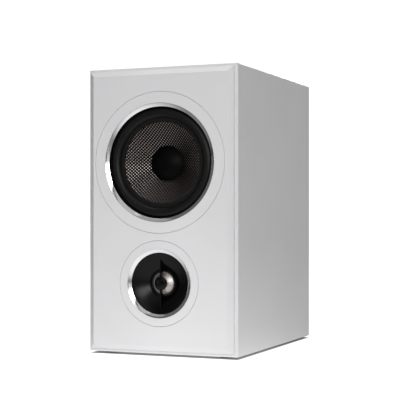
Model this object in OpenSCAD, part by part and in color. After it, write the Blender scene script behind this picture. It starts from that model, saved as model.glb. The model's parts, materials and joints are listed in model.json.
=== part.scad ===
// Two-way bookshelf loudspeaker: lacquered cabinet, woofer above, horn tweeter below, rear port and
// two pairs of binding posts. +X is the right-hand side seen from the front, -Y faces the listener,
// +Z is up. The origin is at floor level, in the middle of the width and of the overall depth.

/* [Cabinet] */
// Width over the side panels
cab_w = 222; // [218:1:290]
// Height of the cabinet without its feet
cab_h = 392; // [380:1:480]
// Depth from the front rim to the back face
cab_d = 314; // [285:1:400]
// Thickness of the sides, top and bottom
panel_t = 18; // [12:0.5:22]
// Thickness of the back panel
back_t = 20; // [15:0.5:26]
// Small chamfer on the cabinet's outer edges
edge_chamfer = 0.8; // [0.4:0.1:2]
// Thickness of the window brace
brace_t = 12; // [9:0.5:18]
// Distance from the front rim to the brace
brace_back = 128; // [120:1:150]
// Width of wood left around the brace's windows
brace_rim = 26; // [18:1:34]
// Height of the rubber feet
foot_h = 3; // [2:0.5:12]
// Diameter of the rubber feet
foot_d = 22; // [14:1:30]
// Distance from the cabinet's edge to a foot's centre
foot_inset = 24; // [18:1:40]
// Thickness of the acoustic lining
lining_t = 16; // [8:1:20]

/* [Front baffle] */
// Width of the flat rim left around the raised baffle
rim_w = 4.5; // [3:0.25:7]
// Height of the square step between rim and bevel
step_h = 5; // [3:0.5:8]
// Width of the bevel, seen from the front
bevel_w = 7; // [4:0.5:7.5]
// Depth of the bevel
bevel_d = 6; // [3:0.5:8]
// Thickness of the baffle behind the rim, inside the cabinet
baffle_plug_t = 19; // [16:0.5:30]

/* [Woofer] */
// Distance from the cabinet's top to the woofer's centre
woofer_drop = 131; // [120:1:140]
// Radius of the voice coil former
coil_r = 19; // [15:0.5:23]
// Radius of the woven part of the cone
cone_r = 56; // [46:0.5:57]
// Depth of the cone from its rim to its neck
cone_depth = 21; // [16:0.5:26]
// Thickness of the cone
cone_t = 0.9; // [0.6:0.1:1.6]
// Width of the rubber lip glued over the cone's rim
lip_w = 5.5; // [4:0.25:8]
// Width of the half roll of the surround
roll_w = 13.5; // [11:0.25:15]
// Height of the half roll
roll_h = 5.5; // [4:0.25:6]
// Thickness of the surround's rubber
rubber_t = 1; // [0.6:0.1:1.6]
// Width of the chrome ring, seen from the front
chrome_w = 5.3; // [4:0.1:7]
// How far the chrome ring slopes inwards
chrome_slope = 3; // [1.5:0.1:3.5]
// Width of the lacquered trim ring
trim_w = 15.5; // [13:0.5:16]
// Thickness of the basket's mounting flange
flange_t = 7; // [6:0.25:9]
// Number of fixing screws
woofer_screw_count = 6; // [4:1:8]
// Diameter of the ferrite magnet
magnet_d = 100; // [80:1:120]
// Thickness of the ferrite magnet
magnet_t = 18; // [12:1:24]
// Height of the dust cap
cap_h = 9; // [5:0.5:12]

/* [Tweeter] */
// Distance from the cabinet's bottom to the tweeter's centre
tweeter_rise = 96.5; // [85:0.5:110]
// Radius of the dome with its rim
dome_r = 15; // [12:0.25:16]
// Height of the dome
dome_h = 4.8; // [3:0.1:6]
// Radius of the horn's mouth
mouth_r = 42; // [38:0.5:46]
// Depth of the horn from mouth to throat
horn_depth = 10.4; // [8:0.2:14]
// Width of the tweeter's chrome ring
tweeter_chrome_w = 5; // [3.5:0.1:6]
// Width of the tweeter's trim ring
tweeter_trim_w = 11.5; // [10:0.5:14]
// Thickness of the horn's mounting flange
horn_flange_t = 5; // [4:0.25:7]
// Radius of the disc held in front of the dome
disc_r = 9.3; // [6:0.1:11]
// Thickness of the disc's two arms, at the axis
arm_t = 3; // [1.5:0.1:4]
// Thickness of the arms' outer ends
arm_tip_t = 1.2; // [0.8:0.1:1.4]
// How far from the axis the arms reach
arm_reach = 33; // [26:0.5:36]

/* [Shared by both drivers] */
// Thickness of the trim rings
trim_t = 4; // [3:0.25:6]
// Gap around each trim ring
ring_gap = 0.4; // [0.2:0.05:0.8]
// Thickness of the sealing gaskets
gasket_t = 1; // [0.6:0.1:2]
// Running clearance on each side of a voice coil
coil_gap = 0.7; // [0.5:0.05:1.2]

/* [Port] */
// Inner radius of the port tube
port_r = 27; // [20:0.5:33]
// Wall of the port tube
port_wall = 2.5; // [2:0.25:4]
// Length of the port tube
port_len = 140; // [90:1:150]
// Radius of the flare at the mouth
mouth_flare = 14; // [8:0.5:15]
// Distance from the cabinet's top to the port's centre
port_drop = 85; // [78:1:120]

/* [Terminals] */
// Width of the terminal plate
plate_w = 112; // [100:1:130]
// Height of the terminal plate
plate_h = 84; // [76:1:100]
// Thickness of the terminal plate
plate_t = 3; // [2.5:0.25:5]
// Distance from the cabinet's bottom to the plate's centre
plate_rise = 92; // [80:1:110]
// Distance between a red post and its black partner
post_pitch = 19.05; // [19.05:0.05:40]
// Distance between the upper and the lower pair
pair_pitch = 34; // [26:1:44]
// Radius of a post's threaded stud
stud_r = 4; // [3.5:0.1:5]
// Length of a stud outside the plate
stud_len = 24; // [20:0.5:30]
// Radius of the banana socket
socket_r = 2; // [2:0.05:2.2]
// Depth of the banana socket
socket_len = 16; // [12:0.5:18]
// Radius of a knob
knob_r = 7.6; // [6.5:0.1:9]
// Thickness of the clamping washers
washer_t = 1.5; // [1:0.1:2.5]
// Thickness of the jumper straps
jumper_t = 1.2; // [0.8:0.1:2]

/* [Crossover] */
// Width and length of the circuit board
board_w = 120; // [100:1:140]
board_l = 100; // [90:1:130]
// Height of the board's spacers
spacer_h = 6; // [4:0.5:10]

/* [Hidden] */
$fn = 96;
POSTS = ["red_upper", "black_upper", "red_lower", "black_lower"];

// Colours
LACQUER = [0.86, 0.86, 0.87];
MDF = [0.62, 0.49, 0.34];
BLACK = [0.07, 0.07, 0.07];
CHROME = [0.85, 0.85, 0.86];
STEEL = [0.55, 0.56, 0.58];
GOLD = [0.86, 0.68, 0.30];
COPPER = [0.72, 0.38, 0.20];

// Overall places along Y and Z
baffle_proud = step_h + bevel_d;
knob_end_t = 2;                                  // end wall of a knob, around the socket's mouth
stud_flange_t = 2.5;                             // fixed flange at the foot of a stud
clamp_e = stud_flange_t + jumper_t;              // where the washer bears when clamped
knob_e = clamp_e + washer_t;                     // where the knob starts
post_out = stud_len + knob_end_t;                // how far a knob reaches out of the plate
face_y = -(baffle_proud + cab_d + post_out) / 2; // front face of the baffle
rim_y = face_y + baffle_proud;
back_y = rim_y + cab_d;
top_z = foot_h + cab_h;
woofer_z = top_z - woofer_drop;
tweeter_z = foot_h + tweeter_rise;
port_z = top_z - port_drop;
plate_z = foot_h + plate_rise;
fit = 0.1;                                       // gap between glued or stacked pieces
inner_w = cab_w - 2 * panel_t;
inner_h = cab_h - 2 * panel_t;
floor_z = foot_h + panel_t;                      // inside face of the bottom panel
plug_y = rim_y + baffle_plug_t;                  // inside face of the baffle
inner_back_y = back_y - back_t;                  // inside face of the back panel

// Woofer radii, from the cone outwards
lip_r = cone_r + lip_w;
roll_r = lip_r + roll_w;
chrome_r = roll_r + 0.7;                         // chrome ring's inner edge, over the surround's flange
trim_r = chrome_r + chrome_w;                    // where chrome and trim ring meet
ring_r = trim_r + trim_w;                        // rebate in the baffle
seat_r = chrome_r + 3.3;                         // step in the basket that the surround's flange lies in
frame_r = ring_r - 8.5;
cutout_r = seat_r - 1.5;                         // hole through the baffle
basket_r = cutout_r - 1;
screw_ring_r = (cutout_r + frame_r) / 2 + 0.3;
// Woofer depths behind the baffle's face
flange_back = trim_t + flange_t;
seat_d = flange_back - 0.5;                      // where the surround's flange is glued
surround_d = seat_d - rubber_t / 2;              // middle of the rubber
cone_rim_d = seat_d + fit;                       // front of the cone's flat rim
neck_d = cone_rim_d + cone_depth;
spider_d = neck_d + 13.5;
motor_d = spider_d + 13;                         // front of the top plate
top_plate_t = 8;
gap_mid_d = motor_d + top_plate_t / 2;
coil_h = 14;
yoke_d = motor_d + top_plate_t + magnet_t;
yoke_t = 8;
cap_r = coil_r + 5.2;
basket_wall = 3.5;
spider_r = coil_r + 31;
basket_foot_r = coil_r + 28;
former_t = 0.5;
winding_t = 0.8;

// Tweeter radii and depths
tweeter_trim_r = mouth_r + tweeter_chrome_w;
tweeter_ring_r = tweeter_trim_r + tweeter_trim_w;
tweeter_frame_r = tweeter_ring_r - 4.5;
tweeter_cutout_r = mouth_r - 2;
tweeter_screw_r = (tweeter_cutout_r + tweeter_frame_r) / 2 + 2;
throat_r = dome_r + 2.6;
ledge_r = throat_r + 1.9;                        // small ledge around the throat
horn_front = 3;
horn_back = trim_t + horn_flange_t;              // back of the horn's flange
throat_d = horn_front + horn_depth;
dome_d = throat_d + 3.8;                         // plane of the dome's rim
tweeter_motor_d = dome_d + 0.2;                  // front of the tweeter's top plate
tweeter_magnet_d = tweeter_motor_d + 4;          // back of the top plate
tweeter_yoke_d = tweeter_magnet_d + 12;          // back of the magnet
tweeter_yoke_t = 5;
foil_t = 0.4;                                    // wall of the dome, its former and its winding
tweeter_motor_r = tweeter_cutout_r - 4;
tweeter_former_r = dome_r - 0.6;
screw_r = 2;                                     // shank of every wood screw
woofer_screw_len = 20;
tweeter_screw_len = 18;
plate_screw_len = 14;
relief_d = 10;                                   // chamfer behind the woofer's cutout

// ---- shapes that repeat ----

// Places children on a driver's axis: local Z runs back into the cabinet from the baffle's face
module on_front(z) translate([0, face_y, z]) rotate([-90, 0, 0]) children();

// Places children on the back face: local Z runs out of the cabinet
module on_back(x, z) translate([x, back_y, z]) rotate([-90, 0, 0]) children();

// A full ring, r1 to r2, between two depths
module ring(r1, r2, d1, d2) translate([0, 0, d1]) difference() {
    cylinder(h = d2 - d1, r = r2);
    translate([0, 0, -1]) cylinder(h = d2 - d1 + 2, r = r1);
}

module disc(r, d1, d2) translate([0, 0, d1]) cylinder(h = d2 - d1, r = r);

module around(count, radius, phase = 0) for (i = [0:count - 1])
    rotate([0, 0, phase + i * 360 / count]) translate([radius, 0, 0]) children();

module at_woofer_screws() around(woofer_screw_count, screw_ring_r, 30) children();
module at_tweeter_screws() around(4, tweeter_screw_r, 45) children();

// Countersunk wood screw, its head flush at local Z = 0
module wood_screw(head_r, length) difference() {
    union() {
        cylinder(h = head_r - screw_r + 0.4, r1 = head_r, r2 = screw_r);
        cylinder(h = length - 2 * screw_r, r = screw_r);
        translate([0, 0, length - 2 * screw_r]) cylinder(h = 2 * screw_r, r1 = screw_r, r2 = 0.3);
    }
    translate([0, 0, -1]) cylinder(h = 2.6, r = head_r * 0.45, $fn = 6);
}

// The room that a wood screw takes in what it holds and in the wood behind
module screw_room(head_r, length) {
    cylinder(h = head_r - screw_r + 0.4, r1 = head_r, r2 = screw_r);
    cylinder(h = length, r = screw_r);
}

module rounded_plate(w, h, t, r) linear_extrude(t) difference() {
    square([w, h], center = true);
    for (sx = [-1, 1], sy = [-1, 1]) translate([sx * (w / 2 - r), sy * (h / 2 - r)]) difference() {
        translate([min(0, sx) * (r + 1), min(0, sy) * (r + 1)]) square(r + 1);
        circle(r);
    }
}

// Octagon-like rectangle with its corners cut by c
function cut_rect(x1, y1, x2, y2, c) = [[x1 + c, y1], [x2 - c, y1], [x2, y1 + c], [x2, y2 - c],
    [x2 - c, y2], [x1 + c, y2], [x1, y2 - c], [x1, y1 + c]];

// Extrusions of XZ and YZ outlines
module along_y(y1, y2) translate([0, y2, 0]) rotate([90, 0, 0]) linear_extrude(y2 - y1) children();
module along_x(x1, x2) translate([x1, 0, 0]) rotate([90, 0, 90]) linear_extrude(x2 - x1) children();

function unit(v) = v / norm(v);

// Points of a smooth line through p, with n steps between neighbours
function smooth_line(p, n) = let (last = len(p) - 1) concat([for (i = [0:last - 1], k = [0:n - 1])
    let (t = k / n, a = p[max(i - 1, 0)], b = p[i], c = p[i + 1], d = p[min(i + 2, last)])
    0.5 * (2 * b + (c - a) * t + (2 * a - 5 * b + 4 * c - d) * t * t
        + (3 * b - a - 3 * c + d) * t * t * t)], [p[last]]);

// Round tube along a line; side is any direction that the line never runs in
module tube_along(line, r, side = [1, 0, 0], sides = 8) {
    n = len(line);
    points = [for (i = [0:n - 1]) let (t = unit(line[min(i + 1, n - 1)] - line[max(i - 1, 0)]),
        u = unit(cross(side, t)), v = cross(t, u)) for (k = [0:sides - 1])
        line[i] + r * (cos(k * 360 / sides) * u + sin(k * 360 / sides) * v)];
    faces = concat([[for (k = [0:sides - 1]) k]],
        [for (i = [0:n - 2], k = [0:sides - 1]) let (a = i * sides + k, b = i * sides + (k + 1) % sides)
            [a, a + sides, b + sides, b]],
        [[for (k = [sides - 1:-1:0]) (n - 1) * sides + k]]);
    polyhedron(points, faces);
}

// ---- cabinet ----

// The cabinet's outer shape behind the rim, with every outer edge chamfered
module cabinet_envelope() {
    c = edge_chamfer;
    intersection() {
        along_y(rim_y, back_y) polygon(cut_rect(-cab_w / 2, foot_h, cab_w / 2, top_z, c));
        along_x(-cab_w / 2, cab_w / 2) polygon(cut_rect(rim_y, foot_h, back_y, top_z, c));
        translate([0, 0, foot_h]) linear_extrude(cab_h)
            polygon(cut_rect(-cab_w / 2, rim_y, cab_w / 2, back_y, c));
    }
}

// One panel of the mitred box, from the outline of its section
module mitred_panel(outline) intersection() {
    cabinet_envelope();
    along_y(rim_y - 1, back_y + 1) polygon(outline);
}

module side_panel(s) color(LACQUER) mitred_panel([[s * cab_w / 2, foot_h], [s * cab_w / 2, top_z],
    [s * inner_w / 2, top_z - panel_t], [s * inner_w / 2, floor_z]]);

module top_panel() color(LACQUER) mitred_panel([[-cab_w / 2, top_z], [cab_w / 2, top_z],
    [inner_w / 2, top_z - panel_t], [-inner_w / 2, top_z - panel_t]]);

module bottom_panel() color(LACQUER) mitred_panel([[-cab_w / 2, foot_h], [cab_w / 2, foot_h],
    [inner_w / 2, floor_z], [-inner_w / 2, floor_z]]);

// Outline across the raised baffle: bevel, step, and the face between the bevels
function raised_outline(lo, hi) = [[lo, rim_y], [lo, face_y + bevel_d], [lo + bevel_w, face_y],
    [hi - bevel_w, face_y], [hi, face_y + bevel_d], [hi, rim_y]];

module raised_front() {
    x = cab_w / 2 - rim_w;
    intersection() {
        translate([0, 0, foot_h + rim_w]) linear_extrude(cab_h - 2 * rim_w) polygon(raised_outline(-x, x));
        along_x(-x, x) polygon([for (p = raised_outline(foot_h + rim_w, top_z - rim_w)) [p[1], p[0]]]);
    }
}

module front_baffle() color(LACQUER) difference() {
    union() {
        raised_front();
        translate([-inner_w / 2 + fit, rim_y - 1, floor_z + fit])
            cube([inner_w - 2 * fit, baffle_plug_t + 1, inner_h - 2 * fit]);
    }
    on_front(woofer_z) {
        disc(ring_r, -1, trim_t);
        disc(frame_r + 0.4, 0, flange_back + gasket_t);
        disc(cutout_r, 0, baffle_proud + baffle_plug_t + 1);
        // relief behind the cutout lets the woofer breathe
        translate([0, 0, baffle_proud + baffle_plug_t - relief_d])
            cylinder(h = relief_d + 1, r1 = cutout_r, r2 = cutout_r + relief_d + 1);
        at_woofer_screws() disc(screw_r, trim_t, trim_t + woofer_screw_len);
    }
    on_front(tweeter_z) {
        disc(tweeter_ring_r, -1, trim_t);
        disc(tweeter_frame_r + 0.4, 0, horn_back + gasket_t);
        disc(tweeter_cutout_r, 0, baffle_proud + baffle_plug_t + 1);
        at_tweeter_screws() disc(screw_r, trim_t, trim_t + tweeter_screw_len);
    }
}

module back_panel() color(LACQUER) difference() {
    translate([-inner_w / 2 + fit, inner_back_y, floor_z + fit])
        cube([inner_w - 2 * fit, back_t, inner_h - 2 * fit]);
    on_back(0, port_z) {
        disc(port_flange_r + 0.2, -port_wall, 1);
        disc(port_r + mouth_flare + 0.4, -back_t - 1, 1);
    }
    on_back(0, plate_z) {
        translate([0, 0, -plate_t]) rounded_plate(plate_w + 0.4, plate_h + 0.4, plate_t + 1, 6);
        translate([0, 0, -back_t - 1]) rounded_plate(plate_w - 26, plate_h - 24, back_t + 2, 6);
        plate_corners() translate([0, 0, -plate_screw_len]) disc(screw_r, 0, plate_screw_len);
    }
}

module window_brace() color(MDF) {
    y = rim_y + brace_back;
    w = inner_w - 2 * fit;
    h = inner_h - 2 * fit;
    low = floor_z + fit;
    window_h = (h - 3 * brace_rim) / 2;
    along_y(y, y + brace_t) difference() {
        translate([-w / 2, low]) square([w, h]);
        for (i = [0, 1]) translate([-w / 2 + brace_rim, low + brace_rim + i * (window_h + brace_rim)])
            square([w - 2 * brace_rim, window_h]);
    }
}

// Felt-like lining on the sides and under the top, behind the brace
lining_gap = 2;                                  // between the lining and the panels that it ends at
lining_rise = 40;                                // the sides' lining starts this far above the inside floor
module acoustic_lining() color([0.85, 0.84, 0.80]) {
    y = rim_y + brace_back + brace_t + lining_gap;
    length = inner_back_y - y - lining_gap;
    side_x = inner_w / 2 - lining_t - fit;
    side_h = inner_h - lining_rise - lining_gap;
    for (x = [-side_x - lining_t, side_x]) translate([x, y, floor_z + lining_rise])
        cube([lining_t, length, side_h]);
    translate([-side_x + lining_gap, y, top_z - panel_t - lining_t / 2 - fit])
        cube([2 * (side_x - lining_gap), length, lining_t / 2]);
}

module rubber_feet() color(BLACK)
    for (sx = [-1, 1], y = [rim_y + foot_inset, back_y - foot_inset])
        translate([sx * (cab_w / 2 - foot_inset), y, 0])
            cylinder(h = foot_h, r1 = foot_d / 2 - 0.8, r2 = foot_d / 2);

// ---- woofer ----

module woofer_trim_ring() color(LACQUER) on_front(woofer_z)
    ring(trim_r + fit, ring_r - ring_gap, 0, trim_t - fit);

// A bezel whose front slopes inwards
module bezel(inner, outer, slope) rotate_extrude()
    polygon([[inner, slope], [outer, 0], [outer, trim_t], [inner, trim_t]]);

module woofer_chrome_ring() color(CHROME) on_front(woofer_z) bezel(chrome_r, trim_r, chrome_slope);

module woofer_basket() color(STEEL) on_front(woofer_z) difference() {
    rotate_extrude() polygon([[seat_r, trim_t], [frame_r, trim_t], [frame_r, flange_back],
        [basket_r, flange_back], [basket_r, flange_back + 5], [spider_r + 4, spider_d + 2],
        [basket_foot_r, spider_d + 5], [basket_foot_r, motor_d], [coil_r + 11, motor_d],
        [coil_r + 11, motor_d - 3], [basket_foot_r - 4, motor_d - 3],
        [basket_foot_r - 4, spider_d + spider_t / 2], [spider_r + 1, spider_d + spider_t / 2],
        [spider_r + 1, spider_d - 2],
        [basket_r - basket_wall, flange_back + 3], [basket_r - basket_wall, seat_d], [seat_r, seat_d]]);
    // windows between the spokes
    for (i = [0:5]) rotate([0, 0, 90 + i * 60]) translate([0, 0, flange_back + 6])
        linear_extrude(spider_d - flange_back - 9) polygon([[30, -11], [100, -36], [100, 36], [30, 11]]);
    at_woofer_screws() translate([0, 0, trim_t]) screw_room(4, woofer_screw_len);
}

module woofer_gasket() color(BLACK) on_front(woofer_z) difference() {
    ring(cutout_r + 0.5, frame_r, flange_back, flange_back + gasket_t);
    at_woofer_screws() disc(screw_r, 0, flange_back + gasket_t + 1);
}

module woofer_screws() color(BLACK) on_front(woofer_z)
    at_woofer_screws() translate([0, 0, trim_t]) wood_screw(4, woofer_screw_len);

// Centre line of a half roll of width w and height h is an arc of this radius
function roll_arc(w, h) = (w * w / 4 + h * h) / (2 * h);

// Section of a half roll with flat flanges: from the inner edge to the outer edge, about depth mid
module roll_section(inner, roll_in, roll_out, outer, mid, h, t) {
    w = roll_out - roll_in;
    arc = roll_arc(w, h);
    translate([inner, mid - t / 2]) square([roll_in - inner + t / 2, t]);
    translate([roll_out - t / 2, mid - t / 2]) square([outer - roll_out + t / 2, t]);
    intersection() {
        translate([(roll_in + roll_out) / 2, mid - h + arc]) difference() {
            circle(arc + t / 2);
            circle(arc - t / 2);
        }
        translate([roll_in - t, mid + t / 2 - 2 * h]) square([w + 2 * t, 2 * h]);
    }
}

// The surround's outer edge ends in a thick bead that fills the room behind the chrome ring
module woofer_surround() color(BLACK) on_front(woofer_z) rotate_extrude() {
    bead_r = seat_r - 2 * fit;
    roll_section(cone_r, lip_r, roll_r, bead_r, surround_d, roll_h, rubber_t);
    translate([chrome_r + 3 * fit, trim_t + fit]) square([bead_r - chrome_r - 3 * fit, seat_d - trim_t - fit]);
}

// Depth of the cone's front at radius r: a little steeper towards the neck
cone_bow = 0.2;
function cone_d(r) = let (t = (cone_r - 0.5 - r) / (cone_r - 0.5 - coil_r))
    cone_rim_d + cone_depth * (t * (1 - cone_bow) + cone_bow * t * t);
CONE_STEPS = 10;
cone_radii = [for (i = [0:CONE_STEPS]) cone_r - 0.5 - (cone_r - 0.5 - coil_r) * i / CONE_STEPS];

module woofer_cone() color([0.16, 0.15, 0.15]) on_front(woofer_z) rotate_extrude() polygon(concat(
    [[lip_r - 0.6, cone_rim_d]], [for (r = cone_radii) [r, cone_d(r)]],
    [for (i = [CONE_STEPS:-1:0]) [cone_radii[i], cone_d(cone_radii[i]) + cone_t * 1.2]],
    [[lip_r - 0.6, cone_rim_d + cone_t]]));

// A thin spherical cap of base radius r and height h, its base at depth d
module cap_shell(r, h, d, t) {
    R = (r * r + h * h) / (2 * h);
    intersection() {
        translate([0, 0, d - h + R]) difference() {
            sphere(R);
            sphere(R - t);
        }
        disc(r + 1, d - h - 1, d);
    }
}

module woofer_dust_cap() color(BLACK) on_front(woofer_z)
    cap_shell(cap_r, cap_h, cone_d(cap_r) - fit, 0.9);

module woofer_coil_former() color(STEEL) on_front(woofer_z)
    ring(coil_r - former_t, coil_r - 0.01, neck_d - 1, gap_mid_d + coil_h / 2 + 1);

module woofer_coil_winding() color(COPPER) on_front(woofer_z)
    ring(coil_r, coil_r + winding_t, gap_mid_d - coil_h / 2, gap_mid_d + coil_h / 2);

// Corrugated disc between the former and the basket's ledge
SPIDER_STEPS = 40;
spider_wave = 1.6;
spider_t = 0.8;
function spider_line(side) = [for (i = [0:SPIDER_STEPS]) let (t = i / SPIDER_STEPS)
    [coil_r + 3 + (spider_r - coil_r - 8) * t,
        spider_d + spider_wave * sin(5 * 360 * t) + side * spider_t / 2]];

module woofer_spider() color([0.80, 0.66, 0.30]) on_front(woofer_z) rotate_extrude() polygon(concat(
    [[coil_r + fit, spider_d - spider_t / 2]], spider_line(-1), [[spider_r, spider_d - spider_t / 2]],
    [[spider_r, spider_d + spider_t / 2]], [for (i = [SPIDER_STEPS:-1:0]) spider_line(1)[i]],
    [[coil_r + fit, spider_d + spider_t / 2]]));

module woofer_top_plate() color(STEEL) on_front(woofer_z)
    ring(coil_r + winding_t + coil_gap, magnet_d / 2 - 4, motor_d, motor_d + top_plate_t);

module woofer_magnet() color([0.20, 0.20, 0.21]) on_front(woofer_z)
    ring(coil_r + 7, magnet_d / 2, motor_d + top_plate_t, yoke_d);

module woofer_yoke() color(STEEL) on_front(woofer_z) difference() {
    union() {
        disc(magnet_d / 2 - 4, yoke_d, yoke_d + yoke_t);
        disc(coil_r - former_t - coil_gap, motor_d - 1, yoke_d + 1);
    }
    disc(5, motor_d - 2, yoke_d + yoke_t + 1);
}

// Strip with two solder lugs, standing off a round edge of radius r below the driver's axis
module lug_strip(r, d, w) difference() {
    union() {
        translate([-w / 2, 0, d]) cube([w, r + 12, 2.5]);
        for (s = [-1, 1]) translate([s * w / 4 - 2.4, r + 6, d - 0.8]) cube([4.8, 16, 0.8]);
    }
    disc(r, d - 2, d + 4);
}

lug_w = 24;
woofer_lug_d = spider_d + 8;
module woofer_terminals() color(GOLD) on_front(woofer_z) lug_strip(basket_foot_r, woofer_lug_d, lug_w);

// A line given as [x, height relative to z, depth behind the face], in the model's own frame
function from_face(z, points) = [for (p = points) [p[0], face_y + p[2], z + p[1]]];

lead_r = 0.8;
lead_end_r = coil_r + 11;                        // where a tinsel lead is glued to the cone's back
lead_end_d = cone_d(lead_end_r) + cone_t * 1.2 + 0.3;
module woofer_tinsel_leads() color([0.75, 0.60, 0.45]) for (s = [-1, 1]) tube_along(smooth_line(
    from_face(woofer_z, [[s * 6, -basket_foot_r - 13, woofer_lug_d - 0.9],
        [s * 6, -basket_foot_r - 13, woofer_lug_d - 4], [s * 6, -basket_foot_r - 13, woofer_lug_d - 7],
        [s * 6, -basket_foot_r - 12.5, spider_d - 3.5], [s * 6.2, -basket_foot_r - 6, spider_d - 10.5],
        [s * 6.6, -lead_end_r - 12, lead_end_d + 8], [s * 7, -lead_end_r - 4.8, lead_end_d + 5.6],
        [s * 7, -lead_end_r - 2.4, lead_end_d + 3], [s * 7, -lead_end_r, lead_end_d]]), 2), lead_r);

// ---- tweeter ----

module tweeter_trim_ring() color(LACQUER) on_front(tweeter_z)
    ring(tweeter_trim_r + fit, tweeter_ring_r - ring_gap, 0, trim_t - fit);

module tweeter_chrome_ring() color(CHROME) on_front(tweeter_z)
    bezel(mouth_r + fit / 2, tweeter_trim_r, horn_front - fit);

// Depth of the horn at radius r: flat at the mouth, steeper towards the throat
horn_bow = 0.3;
horn_r = mouth_r - 0.4;
function horn_d(r) = let (t = (horn_r - r) / (horn_r - ledge_r))
    horn_front + horn_depth * (t * (1 - horn_bow) + horn_bow * t * t);
HORN_STEPS = 12;
horn_line = [for (i = [0:HORN_STEPS])
    let (r = horn_r - (horn_r - ledge_r) * i / HORN_STEPS) [r, horn_d(r)]];
notch_w = 1.6;
notch_d = 5;                                     // how deep behind the baffle's face a notch reaches
plug_front = 4.3;                                // front of the phase plug's disc
plug_t = 5.2;                                    // thickness of the disc in its middle
clamp_d = tweeter_motor_d - 0.4;                 // where the waveguide clamps the dome's surround
pocket_r = tweeter_motor_r - 3;

module tweeter_waveguide() color(BLACK) on_front(tweeter_z) difference() {
    rotate_extrude() polygon(concat([[mouth_r, horn_front]], horn_line,
        [[ledge_r, throat_d + 1], [throat_r, throat_d + 1], [throat_r, clamp_d], [throat_r + 3, clamp_d],
         [throat_r + 3, tweeter_motor_d], [throat_r + 4.5, tweeter_motor_d], [throat_r + 4.5, throat_d + 1.6],
         [pocket_r, horn_d(pocket_r) + 3], [pocket_r, tweeter_motor_d], [tweeter_motor_r, tweeter_motor_d],
         [tweeter_cutout_r - 1, tweeter_motor_d - 3], [tweeter_cutout_r - 1, horn_back],
         [tweeter_frame_r, horn_back], [tweeter_frame_r, trim_t], [mouth_r, trim_t]]));
    at_tweeter_screws() translate([0, 0, trim_t]) screw_room(3.6, tweeter_screw_len);
    // small notches in the mouth, above and below, that show which way up the horn goes
    for (s = [-1, 1]) translate([-notch_w / 2, s * (mouth_r - notch_w / 2) - notch_w / 2, 0])
        cube([notch_w, notch_w, notch_d]);
}

// Disc in front of the dome on two arms that taper outwards and lie along the horn
module arm() intersection() {
    rotate([90, 0, 90]) translate([0, 0, -arm_t / 2]) linear_extrude(arm_t) polygon(concat(
        [[0, plug_front + 1], [arm_reach, horn_d(arm_reach) - fit]],
        [for (p = horn_line) if (p[0] < arm_reach) p - [0, fit]],
        [[disc_r, plug_front + plug_t + 1], [0, plug_front + plug_t]]));
    linear_extrude(throat_d + 1) polygon([[-arm_t / 2, 0], [arm_t / 2, 0], [arm_tip_t / 2, arm_reach],
        [-arm_tip_t / 2, arm_reach]]);
}

module tweeter_phase_plug() color(BLACK) on_front(tweeter_z) {
    rotate_extrude() polygon([[0, plug_front], [disc_r * 0.55, plug_front + 0.5], [disc_r, plug_front + 1.8],
        [disc_r, plug_front + 3], [disc_r * 0.5, plug_front + plug_t], [0, plug_front + plug_t]]);
    arm();
    mirror([0, 1]) arm();
}

module tweeter_dome() color(CHROME) on_front(tweeter_z) {
    cap_shell(tweeter_former_r, dome_h, dome_d - 0.2, foil_t);
    ring(tweeter_former_r - 0.6, dome_r, dome_d - 0.3, dome_d + 0.1);
}

module tweeter_dome_surround() color(BLACK) on_front(tweeter_z) rotate_extrude()
    roll_section(dome_r + 0.1, dome_r + 0.4, throat_r - 0.5, throat_r + 2.9, clamp_d + 0.2, 0.9, 0.4);

module tweeter_voice_coil() color(COPPER) on_front(tweeter_z) {
    ring(tweeter_former_r - foil_t, tweeter_former_r, dome_d + 0.1, dome_d + 4.5);
    ring(tweeter_former_r, tweeter_former_r + foil_t, tweeter_motor_d + 0.8, tweeter_motor_d + 3.2);
}

module tweeter_top_plate() color(STEEL) on_front(tweeter_z)
    ring(tweeter_former_r + foil_t + coil_gap, tweeter_motor_r, tweeter_motor_d, tweeter_magnet_d);

module tweeter_magnet() color([0.20, 0.20, 0.21]) on_front(tweeter_z)
    ring(tweeter_former_r + 5.5, tweeter_motor_r, tweeter_magnet_d, tweeter_yoke_d);

module tweeter_yoke() color(STEEL) on_front(tweeter_z) difference() {
    union() {
        disc(tweeter_motor_r - 1, tweeter_yoke_d, tweeter_yoke_d + tweeter_yoke_t);
        disc(tweeter_former_r - foil_t - coil_gap, tweeter_motor_d + 0.2, tweeter_yoke_d + 1);
    }
    disc(3, tweeter_motor_d, tweeter_yoke_d + tweeter_yoke_t + 1);
}

module tweeter_gasket() color(BLACK) on_front(tweeter_z) difference() {
    ring(tweeter_cutout_r + 0.5, tweeter_frame_r, horn_back, horn_back + gasket_t);
    at_tweeter_screws() disc(screw_r, 0, horn_back + gasket_t + 1);
}

module tweeter_screws() color(BLACK) on_front(tweeter_z)
    at_tweeter_screws() translate([0, 0, trim_t]) wood_screw(3.6, tweeter_screw_len);

tweeter_lug_d = tweeter_yoke_d + 1;
module tweeter_terminals() color(GOLD) on_front(tweeter_z) rotate([0, 0, 180])
    lug_strip(tweeter_motor_r - 1, tweeter_lug_d, 20);

// ---- port ----

port_flange_r = port_r + mouth_flare + 3;
inner_flare = 8;

// Quarter-round flare of radius f at the end of a tube, opening towards +Z, its mouth at z = 0
module flare_section(f) intersection() {
    translate([port_r + f, -f]) difference() {
        circle(f);
        circle(f - port_wall);
    }
    translate([port_r - 1, -f]) square(f + 1);
}

module port_tube() color(BLACK) on_back(0, port_z) rotate_extrude() {
    flare_section(mouth_flare);
    translate([port_r, inner_flare - port_len]) square([port_wall, port_len - mouth_flare - inner_flare]);
    translate([port_r + mouth_flare, -port_wall]) square([port_flange_r - port_r - mouth_flare, port_wall]);
    translate([0, -port_len]) mirror([0, 1]) flare_section(inner_flare);
}

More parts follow.
